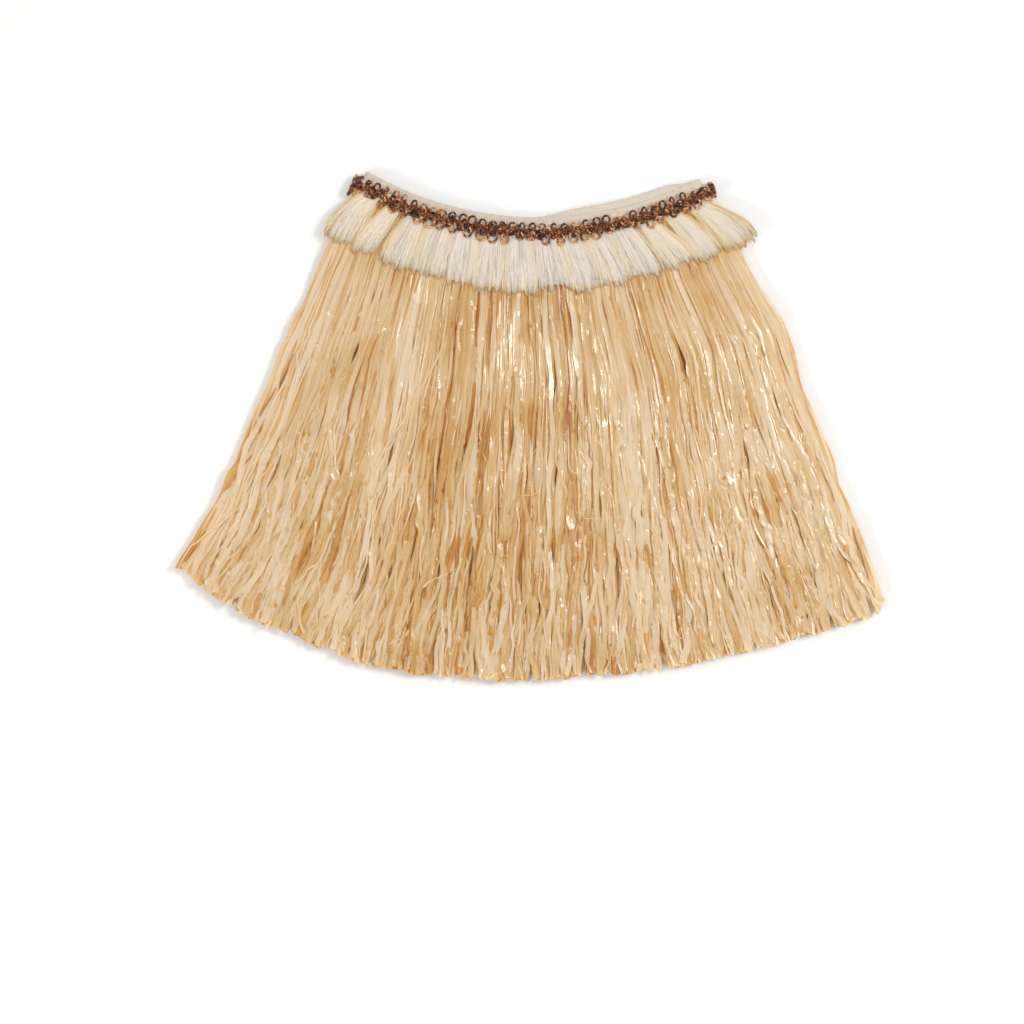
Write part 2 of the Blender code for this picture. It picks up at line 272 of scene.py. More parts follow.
def join_strands(name, points, around, along, strip, strips, is_open=False, smooth_share=1.0, rng=None):
    """One mesh of strands: closed ones, or open film. points is strands by stations by corners by 3, the
    corners clockwise seen from the tip. Each strand's map is an upright strip: around is U at each corner,
    and again at the first where it is closed, along is V at each station, and strip numbers it."""
    count, stations, corners = points.shape[:3]
    index = np.arange(count * stations * corners).reshape(count, stations, corners)
    after = np.roll(index, -1, axis=2)
    faces_round = corners - 1 if is_open else corners
    sides = np.stack([index[:, :-1], index[:, 1:], after[:, 1:], after[:, :-1]], -1)
    sides = sides[:, :, :faces_round].reshape(-1, 4)
    caps = [] if is_open else index[:, 0].tolist() + index[:, -1, ::-1].tolist()
    mesh = bpy.data.meshes.new(name)
    mesh.from_pydata(points.reshape(-1, 3), [], sides.tolist() + caps)

    around = np.asarray(around, float)
    u = np.stack([around[:-1], around[:-1], around[1:], around[1:]], -1)
    u = np.broadcast_to(u, (count, stations - 1, faces_round, 4))
    v = np.stack([along[:, :-1], along[:, 1:], along[:, 1:], along[:, :-1]], -1)
    v = np.broadcast_to(v[:, :, None, :], u.shape)
    place = np.asarray(strip, float).reshape(count, 1, 1, 1)
    maps = [np.stack([(place + 0.06 + 0.88 * u) / strips, v], -1).reshape(-1, 2)]
    spin = np.arange(corners) * 2 * math.pi / corners
    for middle, turn in () if is_open else ((MAP_LOW / 2, 1), (1 - MAP_LOW / 2, -1)):
        cap_u = (place[:, 0, 0] + 0.5 + 0.3 * np.cos(spin)) / strips
        cap_v = np.broadcast_to(middle + 0.004 * turn * np.sin(spin), cap_u.shape)
        maps.append(np.stack([cap_u, cap_v], -1).reshape(-1, 2))
    layer = mesh.uv_layers.new(name=BAKE_MAP)
    layer.uv.foreach_set("vector", np.concatenate(maps).astype(np.float32).ravel())

    soft = np.ones(len(mesh.polygons), bool)
    if rng is not None:
        soft = rng.random(len(mesh.polygons)) < smooth_share
    soft[len(sides):] = False
    mesh.polygons.foreach_set("use_smooth", soft)
    mesh.update()
    made = bpy.data.objects.new(name, mesh)
    bpy.context.scene.collection.objects.link(made)
    return made


def dress(made, material, slot, *nodes):
    """Gives a piece its material, and tells the frame what it rides on and stands for."""
    made.data.materials.clear()
    made.data.materials.append(material)
    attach(made, "root")
    if nodes:
        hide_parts(*nodes)
    return made


# Shader nodes

def add_node(tree, kind, inputs=None, **settings):
    """Adds a node with its settings and its inputs, each a value or another node's output."""
    made = tree.nodes.new(kind)
    for name, value in settings.items():
        setattr(made, name, value)
    for key, value in (inputs or {}).items():
        if isinstance(value, bpy.types.NodeSocket):
            tree.links.new(value, made.inputs[key])
        else:
            made.inputs[key].default_value = value
    return made


def maths(tree, operation, *values, clamp=False):
    """The result of a Math node."""
    inputs = dict(enumerate(values))
    return add_node(tree, "ShaderNodeMath", inputs, operation=operation, use_clamp=clamp).outputs[0]


def total(tree, *terms):
    """The sum of (value, share) pairs."""
    result = 0.0
    for value, share in terms:
        result = maths(tree, "MULTIPLY_ADD", value, share, result)
    return result


def new_group(name, inputs, outputs):
    """A node group with number sockets of these names. Returns it, its inputs' values and its results."""
    group = bpy.data.node_groups.new(name, "ShaderNodeTree")
    for socket in inputs:
        group.interface.new_socket(name=socket, in_out="INPUT", socket_type="NodeSocketFloat")
    for socket in outputs:
        group.interface.new_socket(name=socket, in_out="OUTPUT", socket_type="NodeSocketFloat")
    given, result = group.nodes.new("NodeGroupInput"), group.nodes.new("NodeGroupOutput")
    return group, given.outputs, result.inputs


def use_group(tree, group, **inputs):
    """Places a group in a tree, its inputs named with underscores for spaces."""
    named = {key.replace("_", " "): value for key, value in inputs.items()}
    return add_node(tree, "ShaderNodeGroup", named, node_tree=group).outputs


def strand_place_group():
    """Where a point lies on its strand, read from the strips of the map."""
    group, given, result = new_group("strand_place", ["Strips"], ["Strip", "Random", "Across", "Along"])
    uv = add_node(group, "ShaderNodeUVMap", uv_map=BAKE_MAP)
    split = add_node(group, "ShaderNodeSeparateXYZ", {0: uv.outputs[0]})
    scaled = maths(group, "MULTIPLY", split.outputs[0], given["Strips"])
    number = maths(group, "FLOOR", scaled)
    shown = maths(group, "DIVIDE", maths(group, "ADD", number, 0.5), given["Strips"])
    noise = add_node(group, "ShaderNodeTexWhiteNoise", {"W": number}, noise_dimensions="1D")
    group.links.new(shown, result["Strip"])
    group.links.new(noise.outputs["Value"], result["Random"])
    group.links.new(maths(group, "FRACT", scaled), result["Across"])
    group.links.new(split.outputs[1], result["Along"])
    return group


def drawn_noise_group():
    """Noise drawn out along a strand, different on each strip."""
    inputs = ["Strip", "Across", "Along", "Across Scale", "Along Scale", "Seed"]
    group, given, result = new_group("drawn_noise", inputs, ["Value"])
    x = maths(group, "MULTIPLY_ADD", given["Across"], given["Across Scale"], given["Seed"])
    y = maths(group, "MULTIPLY", given["Along"], given["Along Scale"])
    z = maths(group, "MULTIPLY", given["Strip"], 197.0)
    place = add_node(group, "ShaderNodeCombineXYZ", {0: x, 1: y, 2: z})
    noise = add_node(group, "ShaderNodeTexNoise", {"Vector": place.outputs[0], "Scale": 1.0, "Detail": 2.0})
    group.links.new(noise.outputs["Fac"], result["Value"])
    return group


def woven_group():
    """Upright ribs crossed by fine rows, from the map of a band. Its Shade is darker where they sink,
    painted shade in the grooves, with a random mottle.
    """
    group, given, result = new_group("woven_ribs", ["Ribs", "Rows"], ["Height", "Shade"])
    uv = add_node(group, "ShaderNodeUVMap", uv_map=BAKE_MAP)
    split = add_node(group, "ShaderNodeSeparateXYZ", {0: uv.outputs[0]})
    ribs = maths(group, "MULTIPLY", split.outputs[0], given["Ribs"])
    rows = maths(group, "MULTIPLY", split.outputs[1], given["Rows"])
    wobble = add_node(group, "ShaderNodeTexNoise", {"Vector": uv.outputs[0], "Scale": 60.0, "Detail": 3.0})
    ribs = maths(group, "MULTIPLY_ADD", wobble.outputs["Fac"], 1.2, ribs)
    rib_wave = maths(group, "SINE", maths(group, "MULTIPLY", ribs, 2 * math.pi))
    row_wave = maths(group, "SINE", maths(group, "MULTIPLY", rows, 2 * math.pi))
    height = total(group, (rib_wave, 0.35), (row_wave, 0.12), (wobble.outputs["Fac"], 0.3))
    # Darker where the ribs and rows sink: painted shade in the grooves, with a random mottle.
    shade = maths(group, "MULTIPLY_ADD", height, 0.6, 0.5, clamp=True)
    group.links.new(height, result["Height"])
    group.links.new(shade, result["Shade"])
    return group


def drawn_noise(tree, place, across, along, seed):
    """Noise drawn out along a strand, from where a point lies on it."""
    return use_group(tree, group_of(drawn_noise_group), Strip=place["Strip"], Across=place["Across"],
                     Along=place["Along"], Across_Scale=across, Along_Scale=along, Seed=seed)["Value"]


def group_of(make):
    """The node group that this function makes, made once."""
    found = bpy.data.node_groups.get(make.__name__)
    if found is None:
        found = make()
        found.name = make.__name__
    return found


def new_material(name, roughness, **settings):
    """A material with its Principled shader set. Returns it, its tree and the shader."""
    material = bpy.data.materials.new(name)
    material.use_nodes = True
    shader = material.node_tree.nodes["Principled BSDF"]
    shader.inputs["Roughness"].default_value = roughness
    for key, value in settings.items():
        shader.inputs[key.replace("_", " ")].default_value = value
    return material, material.node_tree, shader


def colour_ramp(tree, factor, *stops):
    """The colour at factor on a ramp of (place, linear colour) stops."""
    ramp = add_node(tree, "ShaderNodeValToRGB", {0: factor})
    points = ramp.color_ramp.elements
    while len(points) < len(stops):
        points.new(0.5)
    for point, (place, colour) in zip(points, stops):
        point.position = place
        point.color = (*colour, 1)
    return ramp.outputs["Color"]


def paint(tree, shader, factor, *stops):
    """Colours the shader by a ramp."""
    tree.links.new(colour_ramp(tree, factor, *stops), shader.inputs["Base Color"])


def add_bump(tree, shader, height, strength, distance):
    bump = add_node(tree, "ShaderNodeBump", {"Height": height, "Strength": strength, "Distance": distance})
    tree.links.new(bump.outputs["Normal"], shader.inputs["Normal"])


def let_through(tree, shader, colour, share):
    """Mixes in the light that comes through from behind."""
    through = add_node(tree, "ShaderNodeBsdfTranslucent", {"Color": colour})
    mixed = add_node(tree, "ShaderNodeMixShader", {0: share, 1: shader.outputs[0], 2: through.outputs[0]})
    tree.links.new(mixed.outputs[0], tree.nodes["Material Output"].inputs["Surface"])


def straw_material(look):
    """Crinkled, glossy straw film in pale, straw and honey tones, with painted shade and a painted
    highlight.
    """
    material, tree, shader = new_material("straw_film", look.roughness, Coat_Roughness=0.12)
    place = use_group(tree, group_of(strand_place_group), Strips=STRAW_STRIPS)
    slow = drawn_noise(tree, place, 0.6, 6.0, 0.0)
    mottle = drawn_noise(tree, place, 1.6, 26.0, 20.0)
    lines = drawn_noise(tree, place, 3.6, 2.5, 40.0)
    # Each ribbon is darker towards its edges: painted shade between the strands.
    from_middle = maths(tree, "ABSOLUTE", maths(tree, "SUBTRACT", place["Across"], 0.5))
    edge = maths(tree, "POWER", maths(tree, "MULTIPLY", from_middle, 2.0), 3.0)
    spot = add_node(tree, "ShaderNodeTexCoord").outputs["Object"]
    patches = add_node(tree, "ShaderNodeTexNoise", {"Vector": spot, "Scale": 17.0, "Detail": 2.0})
    # Patches with more coat are also paler in tone: a painted highlight where the film is glossy.
    gloss_and_painted_highlight = maths(tree, "MULTIPLY_ADD", patches.outputs["Fac"], 4.5, -1.7, clamp=True)
    # Darker just below the cream fringe: a painted shadow of the fringe.
    painted_shadow_under_cream = maths(tree, "MULTIPLY_ADD", place["Along"], -25.0, 4.4, clamp=True)
    tone = total(tree, (place["Strip"], 0.95), (slow, 0.42), (mottle, 0.14), (lines, 0.66), (edge, -0.32),
                 (gloss_and_painted_highlight, 0.22), (painted_shadow_under_cream, -0.08), (place["Along"], 0.19))
    tone = maths(tree, "SUBTRACT", tone, 0.71, clamp=True)
    paint(tree, shader, tone, (0.0, look.deep), (0.30, look.honey), (0.58, look.straw), (1.0, look.pale))
    shine = maths(tree, "MULTIPLY_ADD", mottle, 0.40, look.roughness - 0.25, clamp=True)
    tree.links.new(shine, shader.inputs["Roughness"])
    glint = drawn_noise(tree, place, 1.2, 34.0, 60.0)
    glint = maths(tree, "MULTIPLY_ADD", glint, 6.0, -2.2, clamp=True)
    amount = maths(tree, "MULTIPLY_ADD", gloss_and_painted_highlight, 0.5 * look.glint, 0.5 * look.glint)
    tree.links.new(maths(tree, "MULTIPLY", glint, amount), shader.inputs["Coat Weight"])
    add_bump(tree, shader, total(tree, (lines, 0.7), (mottle, 0.5)), 0.36, 0.0004)
    glow = colour_ramp(tree, tone, (0.0, look.glow_deep), (1.0, look.glow))
    let_through(tree, shader, glow, 0.45)
    return material


def cream_material(look):
    """Fine matt fibres, pale with beige among them, with painted shade in gold between the tufts and at
    their tips.
    """
    material, tree, shader = new_material("cream_fibre", 0.85, Sheen_Weight=0.25, Sheen_Roughness=0.5)
    place = use_group(tree, group_of(strand_place_group), Strips=CREAM_STRIPS)
    slow = drawn_noise(tree, place, 0.5, 6.0, 3.0)
    # The tips turn gold: painted shade at the hem of the fringe.
    tips = maths(tree, "MULTIPLY_ADD", place["Along"], 5.0, -3.5, clamp=True)
    tone = total(tree, (place["Strip"], 0.9), (slow, 0.5), (tips, -0.75))
    tone = maths(tree, "SUBTRACT", tone, 0.25, clamp=True)
    paint(tree, shader, tone, (0.0, look.shadow), (0.35, look.beige), (0.8, look.cream))
    return material


def cord_material(look):
    """Satin cord with two twisted plies, with a painted sheen along them and a painted highlight at the
    tips of the loops that have the lightest strips.
    """
    material, tree, shader = new_material("braid_cord", 0.34, Specular_IOR_Level=0.4)
    place = use_group(tree, group_of(strand_place_group), Strips=CORD_STRIPS)
    turns = total(tree, (place["Across"], 2.0), (place["Along"], 14.0))
    # Light and dark stripes along the twist of the plies: a painted sheen, also used for their bump.
    ply_relief_and_painted_sheen = maths(tree, "SINE", maths(tree, "MULTIPLY", turns, 2 * math.pi))
    slow = drawn_noise(tree, place, 0.4, 7.0, 7.0)
    # The tips of the lightest loops, those of the lower row, are lighter: a painted highlight.
    from_tip = maths(tree, "ABSOLUTE", maths(tree, "SUBTRACT", place["Along"], 0.5))
    tip = maths(tree, "MULTIPLY_ADD", from_tip, -3.5, 1.0, clamp=True)
    painted_highlight_at_low_tips = maths(tree, "MULTIPLY", tip, maths(tree, "POWER", place["Strip"], 3.0))
    tone = total(tree, (ply_relief_and_painted_sheen, 0.18), (slow, 2.1), (place["Strip"], 0.45), (painted_highlight_at_low_tips, 0.55))
    tone = maths(tree, "SUBTRACT", tone, 0.96, clamp=True)
    paint(tree, shader, tone, (0.1, look.dark), (0.55, look.copper), (0.95, look.light))
    add_bump(tree, shader, ply_relief_and_painted_sheen, 0.4, 0.0003)
    return material


def woven_material(name, pale, dark, ribs, rows):
    """Ribbed woven elastic or tape, with painted shade between its ribs."""
    material, tree, shader = new_material(name, 0.9, Sheen_Weight=0.15, Sheen_Roughness=0.5)
    weave = use_group(tree, group_of(woven_group), Ribs=ribs, Rows=rows)
    paint(tree, shader, weave["Shade"], (0.2, dark), (0.7, pale))
    add_bump(tree, shader, weave["Height"], 0.7, 0.0004)
    return material


# Sizes and colours

def size(name, default, description):
    return bpy.props.FloatProperty(name=name, description=description, default=default, unit="LENGTH",
                                   precision=5)


def tint(name, default, description):
    return bpy.props.FloatVectorProperty(name=name, description=description, default=display(*default),
                                         subtype="COLOR", min=0, max=1)


def number(name, default, description):
    return bpy.props.IntProperty(name=name, description=description, default=default, min=1)


def fraction(name, default, description):
    return bpy.props.FloatProperty(name=name, description=description, default=default, subtype="FACTOR",
                                   min=0, max=1)


def power(name, default, description):
    return bpy.props.FloatProperty(name=name, description=description, default=default, unit="POWER")


class STRAW_PG_look(bpy.types.PropertyGroup):
    ribbon: size("Ribbon width", 0.0050, "Width of a ribbon of straw film where it hangs free")
    crease: fraction("Crease", 0.16, "Most a ribbon is creased, as a share of its width")
    lower: number("Lower ribbons", 300, "Ribbons at the bottom of the front")
    middle: number("Middle ribbons", 330, "Ribbons in the middle of the front")
    upper: number("Upper ribbons", 330, "Ribbons at the top of the front")
    loose: number("Loose ribbons", 210, "Thin and straying ribbons on top of the front")
    back: number("Back ribbons", 380, "Ribbons of the side that lies on the surface")
    bundles: number("Bundles", 62, "Bundles that the front ribbons gather in")
    roughness: fraction("Roughness", 0.34, "Roughness of the film")
    glint: fraction("Glint", 1.0, "Weight of the film's glossy patches")
    pale: tint("Pale", (253, 241, 209), "Pale streaks")
    straw: tint("Straw", (240, 214, 150), "Most of the straw")
    honey: tint("Honey", (226, 180, 92), "Folds")
    # The deep colour is painted shade, for the ribbons that lie lowest in the layer and the gaps between
    # ribbons.
    deep: tint("Deep", (190, 118, 44), "Gaps and depths")
    glow: tint("Glow", (252, 218, 142), "Light through pale straw")
    glow_deep: tint("Deep glow", (232, 150, 54), "Light through deep straw")


class CREAM_PG_look(bpy.types.PropertyGroup):
    tufts: number("Tufts", 14, "Tufts across the front")
    back_tufts: number("Back tufts", 12, "Tufts across the back")
    threads: number("Threads", 262, "Threads in a front tuft")
    back_threads: number("Back threads", 88, "Threads in a back tuft")
    thread: size("Thread", 0.00055, "Width of a thread")
    cream: tint("Cream", (234, 225, 216), "Most of the fibres")
    beige: tint("Beige", (237, 219, 186), "Fibres low in a tuft")
    shadow: tint("Shadow", (233, 194, 126), "Fibres between the tufts and at their tips")


class BRAID_PG_look(bpy.types.PropertyGroup):
    pitch: size("Pitch", 0.0090, "From one loop to the next")
    swing: size("Swing", 0.0048, "How far a loop swings to each side")
    reach: size("Reach", 0.0094, "How far a loop reaches from the middle")
    cord: size("Cord", 0.0020, "Width of the cord")
    dark: tint("Dark", (16, 5, 4), "Dark parts of the cord")
    copper: tint("Copper", (142, 76, 38), "Most of the cord")
    light: tint("Light", (242, 184, 124), "Where the cord shines")


class BAND_PG_look(bpy.types.PropertyGroup):
    columns: number("Columns", 250, "Divisions round the waistband")
    ruche: size("Ruche", 0.0005, "How far the elastic puckers")
    pale: tint("Pale", (228, 218, 203), "The elastic's ribs")
    # The dark colour is painted shade between the ribs.
    dark: tint("Dark", (194, 172, 142), "Between the ribs")


class STAGE_PG_look(bpy.types.PropertyGroup):
    floor: tint("Floor", (250, 250, 250), "Plain pale floor")
    key: power("Key", 19.0, "Power of the softbox")
    top: power("Top", 25.0, "Power of the overhead panel")
    fill: power("Fill", 12.0, "Power of the side panel")
    sky: bpy.props.FloatProperty(name="Room", description="Even light from all round", default=0.42, min=0)


# Straw

def bundle_tables(bundles):
    """Each bundle's place, and how it draws in and sways."""
    rng = np.random.default_rng(BUNDLE_SEED)
    place = (np.arange(bundles) + 0.5 + rng.uniform(-0.25, 0.25, bundles)) / bundles
    return dict(place=place, **{name: rng.uniform(*span, bundles) for name, span in BUNDLE.items()})


def hem_slits():
    """Each slit in the hem: its share of the hem, half its width and how far up it closes."""
    rng = np.random.default_rng(SLIT_SEED)
    place = (np.arange(SLITS) + rng.uniform(0.15, 0.85, SLITS)) / SLITS
    return place, rng.uniform(0.0008, 0.0028, SLITS), rng.uniform(0.018, 0.040, SLITS)


def bundle_of(share, bundle):
    """The number of the bundle that each share of the waist is nearest to."""
    return np.argmin(np.abs(share - bundle["place"]), -1)


def at_side(share, reach):
    """1 at the skirt's two sides, 0 further in than reach, both as shares of the waist."""
    return 1 - smooth(*reach, np.minimum(share, 1 - share))


def front_heights(share, below):
    """The lowest and highest that the front's ribbons lie."""
    low, high = np.interp(below, *FRONT_LOW), np.interp(below, *FRONT_HIGH)
    sides = np.sin(math.pi * np.clip(share, 0, 1)) ** 0.7
    high = high + CROWN * sides * smooth(*CROWN_RISES, below) * (1 - smooth(*CROWN_FALLS, below))
    edge = at_side(share, (0, 0.04)) * smooth(0.02, 0.09, below)
    return low - edge * 0.0062, high - edge * 0.0030


def back_heights(share, below):
    """The same for the side that lies on the surface."""
    return np.interp(below, *BACK_LOW) + 0 * share, np.interp(below, *BACK_HIGH) + 0 * share


def part_at_slits(aside, angle, radius, width, below, length, hem_left, hem_right):
    """Moves the ribbons that end over a slit in the hem to its nearer side."""
    place, half, height = hem_slits()
    slit_angle = np.radians(hem_left + (hem_right - hem_left) * place)
    from_slit = ((angle + aside / radius)[:, -1:] - slit_angle) * radius[:, -1:]
    nearest = np.argmin(np.abs(from_slit), 1)[:, None]
    from_slit = np.take_along_axis(from_slit, nearest, 1)
    parts = np.maximum(0, half[nearest] + width / 2 - np.abs(from_slit))
    return aside + np.sign(from_slit) * parts * smooth(length - height[nearest], length, below)


def ribbon_corners(path, width, crease, twist, slant):
    """The left edge, crease and right edge of ribbons along these paths, each cut off at a slant."""
    along, sideways, up = path_frames(path, UPWARDS)
    sideways, up = turned(sideways, up, twist)
    half, fold = (width / 2)[..., None], (crease * width)[..., None]
    left = path - sideways * half - up * fold / 2
    right = path + sideways * half - up * fold / 2
    corners = np.stack([left, path + up * fold / 2, right], 2)
    corners[:, -1, 0] += along[:, -1] * slant
    corners[:, -1, 2] -= along[:, -1] * slant
    corners[..., 2] = np.maximum(corners[..., 2], RIBBON_FLOOR)
    return corners


def lay_ribbons(look, rng, share, level, width, stations, wander, stray, gather, hooks, back=False):
    """The corners of ribbons that hang from their shares of the waist, at their levels in the layer, with
    their distances below the waist line. wander scales their waves, stray is a slope off the ray, gather is
    how far they draw in to their bundles, and hooks is the share of them that end short, in a curl."""
    count = len(share)
    each, own_wave = draws_for(rng, count)

    # How far each ribbon reaches, and its stations
    share, level, width, stray = (x[:, None] for x in (share, level, width, stray))
    root = FOLD_LEFT + (FOLD_RIGHT - FOLD_LEFT) * share
    shift = back_shift(root) if back else 0.0
    hem_left, hem_right = np.degrees(edges_at(STRAW_EDGES, STRAW_HEM[1][0]))
    hem = np.interp(hem_left + (hem_right - hem_left) * share, *STRAW_HEM)
    bundle = bundle_tables(look.bundles)
    mine = bundle_of(share, bundle)[:, None]
    ragged = rng.beta(1.2, 3.0, (count, 1)) * STRAW_RAGGED + bundle["cut"][mine] - LONGEST_PAST_HEM
    hooked = rng.random((count, 1)) < hooks
    length = (hem + shift - ragged) * np.where(hooked, each(*HOOKED_LENGTH), 1)
    step = np.linspace(0, 1, stations) + 0 * share
    step[:, 1:-1] += rng.uniform(-0.32, 0.32, (count, stations - 2)) / (stations - 1)
    below = RIBBON_START + (length - RIBBON_START) * step
    left, right = edges_at(STRAW_EDGES, below)
    angle = root + (left + (right - left) * share - root) * smooth(0, 0.05, below - RIBBON_START)
    radius = waist_radius(root) + below - shift
    loose = smooth(0.03, 0.36, below)

    # Sideways: the bundles, then each ribbon's own waves, crimp, stray, curled tip and hook
    drawn = (0.5 + 0.5 * wave(below, bundle["squeeze_length"][mine], bundle["squeeze_phase"][mine])) ** 2
    drawn = gather * bundle["squeeze"][mine] * drawn * smooth(0.015, 0.06, below)
    aside = -drawn * (share - bundle["place"][mine]) * radius * (right - left)
    sway = bundle["sway"][mine] * (0.0005 + 0.0018 * loose)
    aside += sway * wave(below, bundle["sway_length"][mine], bundle["sway_phase"][mine])
    aside += wander * (0.0003 + 0.0016 * loose) * own_wave(below, WAVE_LONG)
    aside += wander * 0.0005 * loose ** 2 * own_wave(below, WAVE_SHORT)
    crimp_at = below - length * rng.uniform(0.35, 1.0, (count, 1))
    crimp = np.exp(-(crimp_at / each(*CRIMP_REACH)) ** 2) * (rng.random((count, 1)) < 0.22 * wander)
    aside += crimp * each(*CRIMP_SWING) * wave(crimp_at, each(*CRIMP_WAVE), 0)
    aside += stray * np.maximum(0, below - length * each(0.25, 0.75)) * smooth(0, 0.08, below)
    tip = smooth(length - each(*TIP_REACH), length, below)
    curled = rng.normal(0, 1, (count, 1)) * (rng.random((count, 1)) < 0.30) * wander
    aside += tip ** 2 * curled * 0.0018
    hook_at = length - each(*HOOK_START)
    turn = hooked * np.sign(each(-1, 1)) * each(*HOOK_TURN)
    heading = turn * smooth(hook_at, hook_at + each(*HOOK_REACH), below)
    width = width * np.where(hooked, HOOKED_WIDTH, 1)
    pace = np.gradient(below, axis=1)
    aside += np.cumsum(np.sin(heading) * pace, 1)
    radius = radius - np.cumsum((1 - np.cos(heading)) * pace, 1)

    # Within the skirt's sides, off its slits and inside its hem
    low_side, high_side = radius * (left - angle) - PAST_SIDE, radius * (right - angle) + PAST_SIDE
    aside = np.clip(aside, low_side, high_side)
    aside = part_at_slits(aside, angle, radius, width, below, length, hem_left, hem_right)
    ends_at = np.degrees((angle + aside / radius)[:, -1:])
    past_hem = np.maximum(0, length - shift - np.interp(ends_at, *STRAW_HEM) - PAST_HEM)
    radius = radius - past_hem * smooth(0.5 * length, length, below)

    # Up and down: the level in the layer, small bumps and kinks, and the lift of tips and hooks
    low, high = (back_heights if back else front_heights)(share, below)
    at = level + 0.16 * wander * loose * own_wave(below, LEVEL_WAVE)
    at = np.clip(at, 0, 1.08)
    height = low + (high - low) * at
    rest = np.clip(level * 3, 0.15, 1) if back else 1.0
    rough = 0.25 + 0.75 * smooth(0.08, 0.30, below)
    often = (0.02 + 0.04 * rough + 0.05 * smooth(0.16, 0.32, below)) * (stations / 110) ** 2
    kinks = (rng.random((count, stations)) < often) * rng.normal(0, 1, (count, stations))
    bumps = rough * rng.normal(0, 0.00009, (count, stations)) + 0.0004 * np.abs(kinks) + 0.0009 * crimp
    height = height + rest * bumps + 0.0006 * np.abs(np.sin(heading))
    height = height + rest * tip ** 2 * np.abs(curled) * 0.0012

    # The section: its twist, crease and width
    twist = rng.normal(0, 0.16, (count, 1)) + 0.17 * own_wave(below, TWIST_WAVE)
    flatter = rest * (1 - 0.85 * at_side(share, SIDE_STRIP))
    twist = np.clip(twist, -0.5, 0.5) + rough * rng.normal(0, 0.06, (count, stations)) + 0.36 * kinks
    crease = each(-1, 1) * look.crease * (1 + 0.4 * own_wave(below, CREASE_WAVE))
    crease = crease * flatter * (0.4 + 0.6 * smooth(0.0, 0.05, below))
    width = width * (0.62 + 0.38 * smooth(0.01, 0.10, below))
    width = width * (1 + 0.16 * own_wave(below, WIDTH_WAVE))

    path = fan_point(angle + aside / radius, radius, height)
    corners = ribbon_corners(path, width, crease, twist * flatter, each(-END_SLANT, END_SLANT))
    return corners, below / STRAW_HEM[1][5]


def make_ribbons(look, name, count, stations, levels, tones, seed, wander=1.0, thin=0.12, strays=0.06,
                 slope=0.11, gather=1.0, hooks=0.0, back=False):
    """A piece of ribbons spread evenly round the skirt, at levels and tones between these. thin and strays
    are the shares of them that are narrow and that leave their ray, and slope is how far they leave it."""
    rng = np.random.default_rng(seed)
    share = (np.arange(count) + 0.5 + rng.uniform(-0.6, 0.6, count)) / count
    share = -0.004 + 1.008 * share
    level = rng.uniform(*levels, count)
    width = look.ribbon * rng.uniform(0.72, 1.30, count)
    width = np.where(rng.random(count) < thin, look.ribbon * rng.uniform(0.3, 0.55, count), width)
    stray = np.where(rng.random(count) < strays, rng.normal(0, slope, count), rng.normal(0, 0.006, count))
    points, along = lay_ribbons(look, rng, share, level, width, stations, wander, stray, gather, hooks,
                                back)
    bundle = bundle_tables(look.bundles)
    drift_and_painted_shade = 0.08 * wave(share, 0.23, 1.0) + 0.05 * wave(share, 0.087, 4.0)
    # The middle of the skirt is darker and its sides paler: painted shade.
    drift_and_painted_shade += 0.12 - 0.28 * np.exp(-((share - 0.48) / 0.20) ** 2)
    tint_by = (bundle["tint"][bundle_of(share[:, None], bundle)] + drift_and_painted_shade) * (tones[1] - tones[0])
    # Ribbons at the skirt's sides are paler and never dark: painted light over the shade that falls there.
    painted_light_at_sides = at_side(share, SIDE_STRIP)
    tone = np.maximum(rng.uniform(*tones, count) + tint_by + 0.10 * painted_light_at_sides, 0.62 * painted_light_at_sides)
    strip = (np.clip(tone, 0, 0.999) * STRAW_STRIPS).astype(int)
    along = np.clip(MAP_LOW + 0.94 * along, 0, MAP_HIGH)
    return join_strands(name, points, (0, 0.5, 1), along, strip, STRAW_STRIPS, True, 0.8, rng)


# Bands

def edit_all(step, **settings):
    """Runs one step of Edit Mode on all of the active object."""
    bpy.ops.object.mode_set(mode="EDIT")
    bpy.ops.mesh.select_all(action="SELECT")
    step(**settings)
    bpy.ops.object.mode_set(mode="OBJECT")


